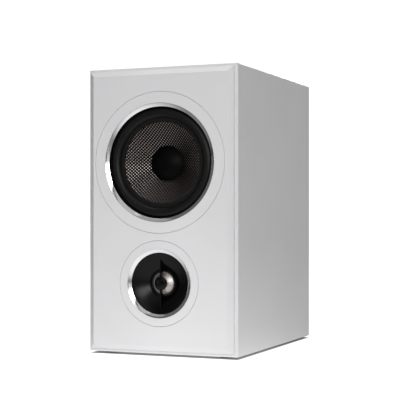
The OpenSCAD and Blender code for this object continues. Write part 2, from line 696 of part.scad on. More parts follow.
// ---- terminals ----

module plate_corners() for (sx = [-1, 1], sy = [-1, 1])
    translate([sx * (plate_w / 2 - 6.5), sy * (plate_h / 2 - 6.5), 0]) children();

// Posts as seen from behind the cabinet: x and height of each
post_x = [1, -1, 1, -1] * post_pitch / 2;
post_z = [1, 1, -1, -1] * pair_pitch / 2;

module at_post(i) on_back(post_x[i], plate_z + post_z[i]) children();

module terminal_plate() color(BLACK) difference() {
    on_back(0, plate_z) difference() {
        translate([0, 0, -plate_t]) rounded_plate(plate_w, plate_h, plate_t, 6);
        plate_corners() mirror([0, 0, 1]) screw_room(3.4, plate_screw_len);
    }
    for (i = [0:3]) at_post(i) disc(stud_r + 0.1, -plate_t - 1, 1);
}

module terminal_screws() color(STEEL) on_back(0, plate_z) plate_corners()
    mirror([0, 0, 1]) wood_screw(3.4, plate_screw_len);

// Stud with flange, cross hole for bare wire, banana socket, fixing nut and solder tag
wire_hole_r = 1.3;
module stud() difference() {
    union() {
        disc(stud_r, -plate_t - 9, stud_len);
        disc(knob_r - 0.4, 0, stud_flange_t);
        translate([0, 0, -plate_t - 4]) cylinder(h = 4, r = stud_r + 3, $fn = 6);
        translate([-2.4, -0.4, -plate_t - 16]) cube([4.8, 0.8, 8]);
    }
    disc(socket_r, stud_len - socket_len, stud_len + 1);
    translate([0, 0, stud_len - socket_len - wire_hole_r - 0.4]) rotate([0, 90, 0])
        cylinder(h = 4 * stud_r, r = wire_hole_r, center = true);
}

module post_studs() color(GOLD) for (i = [0:3]) at_post(i) stud();

// Straps that join the upper and the lower post of one colour
module jumper_straps() color(GOLD) for (s = [-1, 1]) difference() {
    on_back(s * post_pitch / 2, plate_z) translate([0, 0, stud_flange_t])
        rounded_plate(2 * stud_r + 5, pair_pitch + 2 * stud_r + 6, jumper_t, 3);
    for (z = [-1, 1]) on_back(s * post_pitch / 2, plate_z + z * pair_pitch / 2)
        disc(stud_r + 0.1, 0, clamp_e + 1);
}

module washer(i) color(GOLD) at_post(i) ring(stud_r + 0.1, knob_r - 0.6, clamp_e + 0.02, knob_e);

// Knurled insulated knob with a hole for the banana plug in its end
FLUTES = 12;
module knob(i) color(i % 2 == 0 ? [0.72, 0.08, 0.07] : [0.08, 0.08, 0.08]) at_post(i) difference() {
    union() {
        disc(knob_r, knob_e + 0.1, post_out - 1);
        translate([0, 0, post_out - 1]) cylinder(h = 1, r1 = knob_r, r2 = knob_r - 1);
    }
    disc(stud_r + 0.1, 0, stud_len + 0.3);
    disc(socket_r + 0.7, 0, post_out + 1);
    for (k = [0:FLUTES - 1]) rotate([0, 0, k * 360 / FLUTES]) translate([knob_r + 0.5, 0, knob_e + 3])
        cylinder(h = post_out - knob_e - 6, r = 1.1);
}

// ---- crossover ----

board_t = 1.6;
board_z = floor_z + spacer_h;
board_top = board_z + board_t;
board_y = inner_back_y - board_l / 2 - 12;

module board_corners() for (sx = [-1, 1], sy = [-1, 1])
    translate([sx * (board_w / 2 - 5), board_y + sy * (board_l / 2 - 5), 0]) children();

module crossover_board() color([0.10, 0.28, 0.14]) difference() {
    translate([-board_w / 2, board_y - board_l / 2, board_z]) cube([board_w, board_l, board_t]);
    board_corners() translate([0, 0, board_z - 1]) cylinder(h = board_t + 2, r = 2);
}

module crossover_fixings() color(STEEL) board_corners() {
    translate([0, 0, floor_z]) cylinder(h = spacer_h, r = 4, $fn = 6);
    translate([0, 0, floor_z + 1]) cylinder(h = spacer_h + board_t - 1, r = 1.95);
    translate([0, 0, board_top]) cylinder(h = 2.2, r = 3.6);
}

// Air-cored coil: copper ring between two plastic cheeks would hide it, so it stands bare on the board
module coil(x, y, r_in, r_out, h) translate([x, board_y + y, board_top + 0.05]) rotate_extrude()
    translate([r_in, 0]) square([r_out - r_in, h]);

module woofer_inductor() color(COPPER) coil(-board_w / 2 + 31, board_l / 2 - 32, 11, 25, 24);
module tweeter_inductor() color(COPPER) coil(board_w / 2 - 25, board_l / 2 - 27, 7, 17, 16);

// Film capacitors lie along X in front of the coils
module film_capacitors() color([0.75, 0.60, 0.12]) for (c = [[-24, 0, 11, 44], [22, 0, 8, 34]])
    translate([c[0], board_y - board_l / 2 + 24, board_top + c[2] + 0.05]) rotate([0, 90, 0])
        cylinder(h = c[3], r = c[2], center = true);

module power_resistor() color([0.90, 0.90, 0.88])
    translate([-8, board_y - board_l / 2 + 3, board_top + 0.05]) cube([48, 9, 9]);

// ---- wiring inside the cabinet ----

cable_r = 1.6;

// From each post's solder tag, down through the plate's cutout to the back of the board
tag_e = plate_t + 16;
module input_leads() for (i = [0:3]) {
    spread = post_x[i] * (2 + post_z[i] / pair_pitch);
    top = plate_z + post_z[i];
    color(i % 2 == 0 ? [0.70, 0.10, 0.08] : BLACK) tube_along(smooth_line([
        [post_x[i], back_y - tag_e - 0.1, top], [post_x[i], back_y - tag_e - 3, top],
        [post_x[i], back_y - tag_e - 6, top], [spread, back_y - back_t - 10, top - 12],
        [spread, back_y - back_t - 7, board_top + 20], [spread, back_y - back_t - 14, board_top + 8],
        [spread, back_y - back_t - 16, board_top + 4], [spread, back_y - back_t - 16, board_top + 2],
        [spread, back_y - back_t - 16, board_top + 0.1]], 3), cable_r);
}

// Both wires of a pair, from the front edge of the board to a driver's lugs
module pair_of_leads(points) for (s = [-1, 1]) color(s > 0 ? [0.70, 0.10, 0.08] : BLACK)
    tube_along(smooth_line([for (p = points) [s * p[0], p[1], p[2]]], 3), cable_r);

board_front_y = board_y - board_l / 2;
brace_mid_y = rim_y + brace_back + brace_t / 2;
woofer_lug_z = woofer_z - basket_foot_r;
woofer_lug_y = face_y + woofer_lug_d - 0.4;
tweeter_lug_z = tweeter_z + tweeter_motor_r;
tweeter_lug_y = face_y + tweeter_lug_d - 0.4;
module woofer_leads() pair_of_leads([
    [49, board_front_y + 12, board_top + 0.1], [49, board_front_y + 12, board_top + 3],
    [49, board_front_y + 11, board_top + 7], [44, board_front_y - 12, board_top + 16],
    [20, brace_mid_y, floor_z + 60], [12, woofer_lug_y + 34, woofer_lug_z - 70],
    [7, woofer_lug_y + 8, woofer_lug_z - 44], [6, woofer_lug_y, woofer_lug_z - 32],
    [6, woofer_lug_y, woofer_lug_z - 27], [6, woofer_lug_y, woofer_lug_z - 22.1]]);

module tweeter_leads() pair_of_leads([
    [53.5, board_front_y + 12, board_top + 0.1], [53.5, board_front_y + 12, board_top + 3],
    [53.5, board_front_y + 11, board_top + 6], [50, board_front_y - 14, board_top + 10],
    [30, brace_mid_y, floor_z + 38], [10, tweeter_lug_y + 26, tweeter_lug_z + 8],
    [5, tweeter_lug_y + 8, tweeter_lug_z + 30], [5, tweeter_lug_y, tweeter_lug_z + 32],
    [5, tweeter_lug_y, tweeter_lug_z + 27], [5, tweeter_lug_y, tweeter_lug_z + 21.1]]);

// ---- nodes ----

front_baffle();
side_panel(-1);  // left_side_panel
side_panel(1);  // right_side_panel
top_panel();
bottom_panel();
back_panel();
window_brace();
acoustic_lining();
rubber_feet();
woofer_trim_ring();
woofer_chrome_ring();
woofer_basket();
woofer_gasket();
woofer_screws();
woofer_surround();
woofer_cone();
woofer_dust_cap();
woofer_coil_former();
woofer_coil_winding();
woofer_spider();
woofer_top_plate();
woofer_magnet();
woofer_yoke();
woofer_terminals();
woofer_tinsel_leads();
tweeter_trim_ring();
tweeter_chrome_ring();
tweeter_waveguide();
tweeter_phase_plug();
tweeter_dome();
tweeter_dome_surround();
tweeter_voice_coil();
tweeter_top_plate();
tweeter_magnet();
tweeter_yoke();
tweeter_gasket();
tweeter_screws();
tweeter_terminals();
port_tube();
terminal_plate();
terminal_screws();
post_studs();
jumper_straps();
crossover_board();
woofer_inductor();
tweeter_inductor();
film_capacitors();
power_resistor();
crossover_fixings();
input_leads();
woofer_leads();
tweeter_leads();
for (i = [0:3]) washer(i);
for (i = [0:3]) knob(i);
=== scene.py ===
"""Looks of the white two-way bookshelf speaker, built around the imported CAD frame.

Everything is in metres in the row frame: -Y faces the listener, +X is right seen from the front, +Z is up.
Both drivers lie on axes along Y, so their round pieces are lathed from (radius, depth) outlines, with the
depth counted backwards from the baffle's front face. Sizes come from the frame's boxes where it has them.
"""
import json
import math

import bmesh
import bpy
import numpy as np
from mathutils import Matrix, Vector, noise


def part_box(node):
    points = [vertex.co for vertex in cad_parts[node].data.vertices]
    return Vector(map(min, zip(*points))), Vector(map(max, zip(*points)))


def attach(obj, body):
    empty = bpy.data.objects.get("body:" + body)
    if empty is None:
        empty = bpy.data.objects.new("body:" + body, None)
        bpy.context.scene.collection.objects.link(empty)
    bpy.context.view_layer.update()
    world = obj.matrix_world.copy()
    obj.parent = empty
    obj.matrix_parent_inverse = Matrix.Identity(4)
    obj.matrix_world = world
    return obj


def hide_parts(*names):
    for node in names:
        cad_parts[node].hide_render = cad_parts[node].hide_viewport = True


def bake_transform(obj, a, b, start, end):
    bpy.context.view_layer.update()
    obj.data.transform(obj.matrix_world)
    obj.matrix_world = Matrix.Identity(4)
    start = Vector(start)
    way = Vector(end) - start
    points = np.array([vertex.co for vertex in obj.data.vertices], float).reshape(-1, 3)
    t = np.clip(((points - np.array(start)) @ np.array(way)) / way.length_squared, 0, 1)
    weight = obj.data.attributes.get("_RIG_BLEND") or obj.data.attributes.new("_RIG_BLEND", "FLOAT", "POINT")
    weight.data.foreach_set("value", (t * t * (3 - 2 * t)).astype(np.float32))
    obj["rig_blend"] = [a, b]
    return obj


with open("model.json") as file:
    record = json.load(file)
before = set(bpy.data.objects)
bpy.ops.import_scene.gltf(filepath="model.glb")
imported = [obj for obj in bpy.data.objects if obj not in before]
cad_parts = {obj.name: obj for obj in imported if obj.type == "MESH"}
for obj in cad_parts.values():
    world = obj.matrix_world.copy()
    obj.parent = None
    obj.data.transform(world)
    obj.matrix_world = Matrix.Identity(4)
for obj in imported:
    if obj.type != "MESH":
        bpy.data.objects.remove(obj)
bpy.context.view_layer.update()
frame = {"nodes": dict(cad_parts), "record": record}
nodes = frame["nodes"]
MM = 0.001


# ---- places and sizes taken from the frame ----

def radius(node):
    """Largest radius of a round CAD node on a driver's axis."""
    lo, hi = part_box(node)
    return (hi.x - lo.x) / 2


def middle(node):
    lo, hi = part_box(node)
    return (lo + hi) / 2


FACE_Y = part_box("front_baffle")[0].y
WOOFER_Z = middle("woofer_chrome_ring").z
TWEETER_Z = middle("tweeter_chrome_ring").z


def depth_of(node):
    """(front, back) of a CAD node, as depths behind the baffle's face."""
    lo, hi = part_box(node)
    return lo.y - FACE_Y, hi.y - FACE_Y


# ---- camera ----

AZIMUTH = math.radians(22.4)
CAMERA_DISTANCE = 1.736
CAMERA_HEIGHT = 0.191


def add_camera():
    data = bpy.data.cameras.new("camera")
    data.lens = 100.5
    data.sensor_width = 36
    data.shift_y = 0.0197
    data.clip_end = 200
    camera = bpy.data.objects.new("camera", data)
    bpy.context.scene.collection.objects.link(camera)
    camera.location = (CAMERA_DISTANCE * math.sin(AZIMUTH), -CAMERA_DISTANCE * math.cos(AZIMUTH),
                       CAMERA_HEIGHT)
    camera.rotation_euler = (math.radians(90), 0, AZIMUTH)
    bpy.context.scene.camera = camera


# ---- studio ----

BACKDROP = 1.1  # strength of the white that the camera sees behind the speaker
FLOOR_WHITE = 1.2  # and of the white floor
FLOOR_GLOW = 0.87  # painted light: the floor's glow on the speaker in the middle of its brighter part
SHADE_INSET = 0.004  # the painted shade under the cabinet, where the floor's glow is taken away, starts this far inside its footprint
SHADE_FADE = 0.01  # and has gone to white after this distance
POOL = ((0.02, -0.35), (0.48, 0.78))  # middle and half axes of the floor's painted pool of light
ROOM = (0.13, 0.2)  # how bright the room is on its left and on its right
# name, azimuth, elevation, distance, size, power
LAMPS = [
    ("key", 31, 15, 2.6, (1.6, 0.9), 28.5),
    ("key_skirt", 35, -1, 2.6, (1.0, 0.5), 0.9),
    ("high_right", 15, 46, 2.4, (1.4, 1.1), 1.8),
    ("high_left", -30, 54, 2.4, (1.4, 0.9), 0.9),
    ("front", -2, 22, 2.4, (1.2, 0.6), 2.1),
    ("left", -42, 4, 2.4, (0.8, 0.8), 2.6),
    ("ceiling", 0, 90, 2.8, (2.6, 2.6), 33),
    ("right", 125, -2, 1.3, (0.5, 0.4), 1.7),
    ("back", -162, 24, 2.8, (1.4, 1.2), 24),
]


def softbox(name, azimuth, elevation, distance, size, power):
    """A soft lamp seen from the baffle at that azimuth (right is positive) and elevation, in degrees."""
    data = bpy.data.lights.new(name, "AREA")
    data.shape = "RECTANGLE"
    data.size, data.size_y = size
    data.energy = power
    light = bpy.data.objects.new(name, data)
    bpy.context.scene.collection.objects.link(light)
    a, e = math.radians(azimuth), math.radians(elevation)
    away = Vector((math.sin(a) * math.cos(e), -math.cos(a) * math.cos(e), math.sin(e)))
    light.location = Vector((0, FACE_Y, 0.2)) + away * distance
    light.rotation_euler = (-away).to_track_quat("-Z", "Y").to_euler()


def lit_world(strength_left, strength_right):
    """White to the camera. As light it is a plain room whose left is darker than its right."""
    world = bpy.data.worlds.new("studio")
    bpy.context.scene.world = world
    world.use_nodes = True
    tree = world.node_tree
    tree.nodes.clear()
    out = tree.nodes.new("ShaderNodeOutputWorld")
    mix = tree.nodes.new("ShaderNodeMixShader")
    path = tree.nodes.new("ShaderNodeLightPath")
    seen = tree.nodes.new("ShaderNodeBackground")
    seen.inputs["Strength"].default_value = BACKDROP
    seen.inputs["Color"].default_value = (1, 1, 1, 1)
    lit = tree.nodes.new("ShaderNodeBackground")
    lit.inputs["Color"].default_value = (1, 1, 1, 1)
    where = tree.nodes.new("ShaderNodeTexCoord")
    axes = tree.nodes.new("ShaderNodeSeparateXYZ")
    ramp = tree.nodes.new("ShaderNodeMapRange")
    ramp.inputs["From Min"].default_value = -1
    ramp.inputs["To Min"].default_value = strength_left
    ramp.inputs["To Max"].default_value = strength_right
    tree.links.new(where.outputs["Generated"], axes.inputs[0])
    tree.links.new(axes.outputs["X"], ramp.inputs["Value"])
    tree.links.new(ramp.outputs["Result"], lit.inputs["Strength"])
    tree.links.new(path.outputs["Is Camera Ray"], mix.inputs["Fac"])
    tree.links.new(lit.outputs[0], mix.inputs[1])
    tree.links.new(seen.outputs[0], mix.inputs[2])
    tree.links.new(mix.outputs[0], out.inputs["Surface"])


def floor_material(glow):
    """Matt floor. The camera sees it as an even white glow, but for a painted shade that the cabinet stands
    in: the glow fades out near its footprint, and inside it only the matt floor's real shading shows.

    For all other rays it glows in a pool in front of the speaker: painted light, standing in for what a white
    floor under studio lamps throws back.
    """
    material = bpy.data.materials.new("studio_floor")
    material.use_nodes = True
    tree = material.node_tree
    tree.nodes.clear()
    out = tree.nodes.new("ShaderNodeOutputMaterial")
    total = tree.nodes.new("ShaderNodeAddShader")
    matt = tree.nodes.new("ShaderNodeBsdfDiffuse")
    matt.inputs["Color"].default_value = (0.3, 0.3, 0.3, 1)
    light = tree.nodes.new("ShaderNodeEmission")
    light.inputs["Color"].default_value = (1, 1, 1, 1)
    path = tree.nodes.new("ShaderNodeLightPath")
    point = tree.nodes.new("ShaderNodeTexCoord").outputs["Object"]
    axes = tree.nodes.new("ShaderNodeSeparateXYZ")
    tree.links.new(point, axes.inputs[0])
    # distance outside the cabinet's footprint, which sets the painted shade
    lo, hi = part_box("bottom_panel")
    reach = []
    for k, name in enumerate("XY"):
        centre, half = (lo[k] + hi[k]) / 2, (hi[k] - lo[k]) / 2 - SHADE_INSET
        off = math_node(tree, "ABSOLUTE", math_node(tree, "SUBTRACT", axes.outputs[name], centre))
        reach.append(math_node(tree, "MAXIMUM", math_node(tree, "SUBTRACT", off, half), 0.0))
    away = math_node(tree, "SQRT", math_node(tree, "ADD", math_node(tree, "POWER", reach[0], 2.0),
                                             math_node(tree, "POWER", reach[1], 2.0)))
    fade = tree.nodes.new("ShaderNodeMapRange")
    fade.interpolation_type = "SMOOTHSTEP"
    fade.inputs["From Max"].default_value = SHADE_FADE
    fade.inputs["To Max"].default_value = FLOOR_WHITE
    tree.links.new(away, fade.inputs["Value"])
    # painted light: the floor glows brightest in the pool's middle and fades to nothing at its edge
    pool = tree.nodes.new("ShaderNodeMapRange")
    pool.interpolation_type = "SMOOTHSTEP"
    pool.inputs["From Max"].default_value = 1
    pool.inputs["To Min"].default_value = glow
    pool.inputs["To Max"].default_value = 0
    (x, y), (half_width, half_length) = POOL
    across = math_node(tree, "DIVIDE", math_node(tree, "SUBTRACT", axes.outputs["X"], x), half_width)
    along = math_node(tree, "DIVIDE", math_node(tree, "SUBTRACT", axes.outputs["Y"], y), half_length)
    from_middle = math_node(tree, "SQRT", math_node(tree, "ADD", math_node(tree, "MULTIPLY", across, across),
                                                    math_node(tree, "MULTIPLY", along, along)))
    tree.links.new(from_middle, pool.inputs["Value"])
    choose = tree.nodes.new("ShaderNodeMix")
    tree.links.new(path.outputs["Is Camera Ray"], choose.inputs["Factor"])
    tree.links.new(pool.outputs["Result"], choose.inputs["A"])
    tree.links.new(fade.outputs["Result"], choose.inputs["B"])
    tree.links.new(choose.outputs[0], light.inputs["Strength"])
    tree.links.new(matt.outputs[0], total.inputs[0])
    tree.links.new(light.outputs[0], total.inputs[1])
    tree.links.new(total.outputs[0], out.inputs["Surface"])
    return material


def add_studio():
    lit_world(*ROOM)
    bpy.ops.mesh.primitive_plane_add(size=80, location=(0, 0, 0))
    floor = bpy.context.object
    floor.name = "studio_floor"
    floor.data.materials.append(floor_material(FLOOR_GLOW))
    for lamp in LAMPS:
        softbox(*lamp)
    settings = bpy.context.scene.view_settings
    settings.view_transform = "Standard"
    settings.look = "None"


# ---- materials ----

def add_node(tree, kind, **values):
    """A shader node whose inputs, or failing that whose own settings, take these values."""
    node = tree.nodes.new("ShaderNode" + kind)
    for key, value in values.items():
        name = key.replace("_", " ")
        if name in node.inputs:
            node.inputs[name].default_value = value
        else:
            setattr(node, key, value)
    return node


def new_material(name, base, roughness, **more):
    """A principled material and its node tree. more are further sockets, with _ for each space."""
    material = bpy.data.materials.new(name)
    material.use_nodes = True
    shader = material.node_tree.nodes["Principled BSDF"]
    shader.inputs["Base Color"].default_value = (*base, 1)
    shader.inputs["Roughness"].default_value = roughness
    for key, value in more.items():
        shader.inputs[key.replace("_", " ")].default_value = value
    return material, material.node_tree, shader


def object_point(tree):
    return tree.nodes.new("ShaderNodeTexCoord").outputs["Object"]


def noise_of(tree, point, scale, detail=3.0, roughness=0.5, stretch=None):
    texture = add_node(tree, "TexNoise", Scale=scale, Detail=detail, Roughness=roughness)
    if stretch:
        mapping = add_node(tree, "Mapping")
        mapping.inputs["Scale"].default_value = stretch
        tree.links.new(point, mapping.inputs["Vector"])
        point = mapping.outputs[0]
    tree.links.new(point, texture.inputs["Vector"])
    return texture.outputs["Fac"]


def spread(tree, value, low, high):
    """value, which runs from about 0.3 to 0.7, mapped to low..high."""
    node = add_node(tree, "MapRange")
    for key, number in (("From Min", 0.3), ("From Max", 0.7), ("To Min", low), ("To Max", high)):
        node.inputs[key].default_value = number
    tree.links.new(value, node.inputs["Value"])
    return node.outputs["Result"]


def tint(tree, shader, value, dark, light):
    """Base colour from dark to light as value goes from 0 to 1."""
    mix = add_node(tree, "Mix", data_type="RGBA")
    for socket, number in zip([s for s in mix.inputs if s.type == "RGBA"], (dark, light)):
        socket.default_value = (*number, 1)
    tree.links.new(value, mix.inputs[0])
    colour = [s for s in mix.outputs if s.type == "RGBA"][0]
    tree.links.new(colour, shader.inputs["Base Color"])


def bump(tree, shader, height, distance, strength=1.0, edge=None):
    """Relief of that distance in metres. edge rounds the CAD's sharp edges in shading, by that radius."""
    node = add_node(tree, "Bump", Strength=strength, Distance=distance)
    tree.links.new(height, node.inputs["Height"])
    if edge:
        rounded = tree.nodes.new("ShaderNodeBevel")
        rounded.samples = 6
        rounded.inputs["Radius"].default_value = edge
        tree.links.new(rounded.outputs[0], node.inputs["Normal"])
    tree.links.new(node.outputs[0], shader.inputs["Normal"])


def lacquer():
    """White satin lacquer over fibreboard: faint orange peel, and a thin clear coat."""
    material, tree, shader = new_material("white_lacquer", (0.805, 0.80, 0.812), 0.36,
                                          Coat_Weight=0.25, Coat_Roughness=0.12)
    point = object_point(tree)
    cloud = noise_of(tree, point, 9, detail=2)
    tint(tree, shader, spread(tree, cloud, 0, 1), (0.79, 0.785, 0.797), (0.82, 0.815, 0.827))
    peel = noise_of(tree, point, 420, detail=2)
    bump(tree, shader, peel, 0.00004, strength=0.35, edge=0.0007)
    fine = noise_of(tree, point, 60, detail=4)
    tree.links.new(spread(tree, fine, 0.33, 0.39), shader.inputs["Roughness"])
    return material


def fibreboard():
    material, tree, shader = new_material("bare_fibreboard", (0.45, 0.33, 0.21), 0.85)
    point = object_point(tree)
    fibres = noise_of(tree, point, 900, detail=6, roughness=0.7, stretch=(1, 0.35, 1))
    tint(tree, shader, spread(tree, fibres, 0, 1), (0.30, 0.20, 0.12), (0.55, 0.42, 0.28))
    bump(tree, shader, fibres, 0.0002)
    return material


def felt():
    material, tree, shader = new_material("felt", (0.70, 0.69, 0.66), 1.0, Sheen_Weight=0.4)
    point = object_point(tree)
    fuzz = noise_of(tree, point, 700, detail=8, roughness=0.8)
    tint(tree, shader, spread(tree, fuzz, 0, 1), (0.52, 0.51, 0.48), (0.82, 0.81, 0.78))
    bump(tree, shader, fuzz, 0.0008)
    return material


def rubber(name, base, roughness, grain=0.00003, scale=1500, **more):
    """Black rubber with a fine moulded grain and slightly uneven gloss."""
    material, tree, shader = new_material(name, base, roughness, **more)
    point = object_point(tree)
    fine = noise_of(tree, point, scale, detail=3)
    bump(tree, shader, fine, grain, strength=0.6)
    patches = noise_of(tree, point, 45, detail=3)
    tree.links.new(spread(tree, patches, roughness - 0.05, roughness + 0.05), shader.inputs["Roughness"])
    return material


def moulded(name, base, roughness, grain=0.00004, scale=1100, edge=0.0004, **more):
    """Moulded plastic with a fine spark-eroded texture."""
    material, tree, shader = new_material(name, base, roughness, **more)
    point = object_point(tree)
    texture = noise_of(tree, point, scale, detail=4, roughness=0.6)
    bump(tree, shader, texture, grain, strength=0.7, edge=edge)
    flow = noise_of(tree, point, 25, detail=2)
    tree.links.new(spread(tree, flow, roughness - 0.04, roughness + 0.04), shader.inputs["Roughness"])
    return material


def metal(name, base, roughness, brushed=None, wear=0.05, edge=0.0003):
    """Bare or plated metal. brushed stretches the finish's fine lines along that direction's small axis."""
    material, tree, shader = new_material(name, base, roughness, Metallic=1.0)
    point = object_point(tree)
    lines = noise_of(tree, point, 900, detail=4, stretch=brushed)
    bump(tree, shader, lines, 0.00001, strength=0.4, edge=edge)
    patches = noise_of(tree, point, 30, detail=4)
    tree.links.new(spread(tree, patches, max(0.02, roughness - wear), roughness + wear),
                   shader.inputs["Roughness"])
    return material


def chrome():
    material, tree, shader = new_material("chrome", (0.80, 0.80, 0.81), 0.06, Metallic=1.0)
    point = object_point(tree)
    ripple = noise_of(tree, point, 60, detail=2)
    bump(tree, shader, ripple, 0.00003, strength=0.25)
    haze = noise_of(tree, point, 200, detail=3)
    tree.links.new(spread(tree, haze, 0.08, 0.13), shader.inputs["Roughness"])
    return material


TOW = 2.15 * MM  # width of one carbon tow
WEAVE_SHIFT = 200.5  # puts the weave's count above 0 everywhere, with a tow's middle on the axis
THREAD_SHIFT = 900.0  # keeps the count of a cloth's threads above 0


def math_node(tree, operation, a, b=None):
    """The result of a Math node; a and b are sockets or numbers."""
    node = add_node(tree, "Math", operation=operation)
    for socket, value in zip(node.inputs, (a, b)):
        if value is None:
            continue
        if isinstance(value, (int, float)):
            socket.default_value = value
        else:
            tree.links.new(value, socket)
    return node.outputs[0]


def crown(tree, across):
    """1 in the middle of a tow and 0 at its edges, round in between; across counts tows."""
    off = math_node(tree, "SUBTRACT", math_node(tree, "FRACT", across), 0.5)
    square = math_node(tree, "MULTIPLY", math_node(tree, "MULTIPLY", off, off), 4.0)
    return math_node(tree, "SUBTRACT", 1.0, square)


def woven_carbon():
    """Carbon tows with a painted glint: where the upright tows lie on top they are coloured silver, brightest
    on their crowns, and the other tows near black, in place of the glints off the fibres. Each carries fine
    fibre lines along its own direction.
    """
    material, tree, shader = new_material("woven_carbon", (0.3, 0.28, 0.27), 0.2, Metallic=1.0)
    point = object_point(tree)
    axes = tree.nodes.new("ShaderNodeSeparateXYZ")
    tree.links.new(point, axes.inputs[0])
    shifted = math_node(tree, "SUBTRACT", axes.outputs["Z"], WOOFER_Z)
    u = math_node(tree, "ADD", math_node(tree, "DIVIDE", axes.outputs["X"], TOW), WEAVE_SHIFT)
    v = math_node(tree, "ADD", math_node(tree, "DIVIDE", shifted, TOW), WEAVE_SHIFT)
    cells = math_node(tree, "ADD", math_node(tree, "FLOOR", u), math_node(tree, "FLOOR", v))
    upright = math_node(tree, "SUBTRACT", 1.0, math_node(tree, "MODULO", cells, 2.0))
    along_z = noise_of(tree, point, 1, detail=2, stretch=(9000, 600, 700))
    along_x = noise_of(tree, point, 1, detail=2, stretch=(700, 600, 9000))
    pick = add_node(tree, "Mix")
    tree.links.new(upright, pick.inputs["Factor"])
    tree.links.new(along_x, pick.inputs["A"])
    tree.links.new(along_z, pick.inputs["B"])
    fibres = pick.outputs[0]
    # painted glint: silver on the crown of each upright tow, darkening to near black at its edges and on the
    # other tows
    top = math_node(tree, "MULTIPLY", crown(tree, u), crown(tree, v))
    painted_glint_mask = math_node(tree, "MULTIPLY", upright, top)
    painted_glint = math_node(tree, "MULTIPLY", spread(tree, fibres, 0.7, 1), painted_glint_mask)
    tint(tree, shader, painted_glint, (0.004, 0.003, 0.0025), (0.34, 0.303, 0.286))
    tree.links.new(spread(tree, fibres, 0.09, 0.15), shader.inputs["Roughness"])
    bump(tree, shader, fibres, 0.00001, strength=0.3)
    return material


def cloth(name, dark, light, thread=0.0006, roughness=0.8):
    """Coarse woven cloth stiffened with resin."""
    material, tree, shader = new_material(name, light, roughness)
    point = object_point(tree)
    axes = tree.nodes.new("ShaderNodeSeparateXYZ")
    tree.links.new(point, axes.inputs[0])
    threads = []
    for k in ("X", "Z"):
        across = math_node(tree, "DIVIDE", axes.outputs[k], thread)
        threads.append(crown(tree, math_node(tree, "ADD", across, THREAD_SHIFT)))
    weave = math_node(tree, "MULTIPLY", threads[0], threads[1])
    # painted shade: the colour darkens from each thread's crown into the grooves between threads
    tint(tree, shader, weave, dark, light)
    bump(tree, shader, weave, thread * 0.3)
    return material


def wound_copper():
    """Enamelled wire, uneven in colour and a little rough."""
    material, tree, shader = new_material("enamelled_copper", (0.60, 0.24, 0.10), 0.28, Metallic=0.9,
                                          Coat_Weight=0.5, Coat_Roughness=0.1)
    patches = noise_of(tree, object_point(tree), 150, detail=3)
    tint(tree, shader, spread(tree, patches, 0, 1), (0.48, 0.17, 0.07), (0.70, 0.32, 0.14))
    bump(tree, shader, patches, 0.00005)
    return material


def circuit_board():
    material, tree, shader = new_material("circuit_board", (0.03, 0.16, 0.07), 0.35, Coat_Weight=0.4)
    point = object_point(tree)
    pour = noise_of(tree, point, 55, detail=1)
    tint(tree, shader, spread(tree, pour, 0, 1), (0.02, 0.11, 0.045), (0.05, 0.22, 0.09))
    glass = noise_of(tree, point, 1500, detail=1)
    bump(tree, shader, glass, 0.00005)
    return material


def make_materials():
    black = (0.018, 0.018, 0.018)
    return {
        "white_lacquer": lacquer(),
        "bare_fibreboard": fibreboard(),
        "felt": felt(),
        "foot_rubber": rubber("foot_rubber", (0.02, 0.02, 0.02), 0.6),
        "chrome": chrome(),
        "basket_metal": moulded("basket_metal", (0.03, 0.03, 0.031), 0.5, grain=0.0001, scale=800),
        "gasket_foam": rubber("gasket_foam", (0.03, 0.03, 0.03), 0.9, grain=0.0003, scale=900),
        "black_screws": metal("black_screws", (0.05, 0.05, 0.05), 0.4),
        "surround_rubber": rubber("surround_rubber", (0.0035, 0.0031, 0.0032), 0.42,
                                  Specular_IOR_Level=0.22),
        "woven_carbon": woven_carbon(),
        "dust_cap_black": moulded("dust_cap_black", (0.0008, 0.0008, 0.0008), 0.45, edge=None,
                                  Specular_IOR_Level=0.06),
        "bare_aluminium": metal("bare_aluminium", (0.80, 0.80, 0.82), 0.3, brushed=(1, 0.05, 1)),
        "enamelled_copper": wound_copper(),
        "spider_cloth": cloth("spider_cloth", (0.35, 0.24, 0.06), (0.68, 0.52, 0.20)),
        "plated_steel": metal("plated_steel", (0.62, 0.61, 0.58), 0.35, brushed=(1, 0.1, 1)),
        "ferrite": moulded("ferrite", (0.045, 0.045, 0.05), 0.6, grain=0.0002, scale=500),
        "gold_plated_brass": metal("gold_plated_brass", (0.90, 0.66, 0.28), 0.16),
        "tinsel_braid": metal("tinsel_braid", (0.70, 0.52, 0.34), 0.4, brushed=(1, 0.3, 1)),
        "horn_black": moulded("horn_black", (0.0008, 0.0008, 0.0010), 0.24, grain=0.00001, edge=0.0003,
                              Specular_IOR_Level=0.18),
        "dome_metal": metal("dome_metal", (0.48, 0.44, 0.42), 0.40, edge=None),
        "dome_cloth": cloth("dome_cloth", (0.008, 0.008, 0.008), (0.03, 0.03, 0.03), thread=0.0003),
        "port_black": moulded("port_black", black, 0.42, grain=0.00008),
        "terminal_black": moulded("terminal_black", black, 0.5, grain=0.0001),
        "knob_red": moulded("knob_red", (0.42, 0.008, 0.010), 0.18, grain=0.00001,
                            Transmission_Weight=0.25, Coat_Weight=0.5),
        "knob_black": moulded("knob_black", (0.012, 0.012, 0.013), 0.18, grain=0.00001, Coat_Weight=0.5),
        "circuit_board": circuit_board(),
        "capacitor_film": moulded("capacitor_film", (0.55, 0.36, 0.03), 0.25, grain=0.00002, Coat_Weight=0.4),
        "resistor_cement": moulded("resistor_cement", (0.72, 0.72, 0.68), 0.8, grain=0.0002, scale=600),
        "cable_sleeve": rubber("cable_sleeve", (0.03, 0.03, 0.03), 0.45),
    }


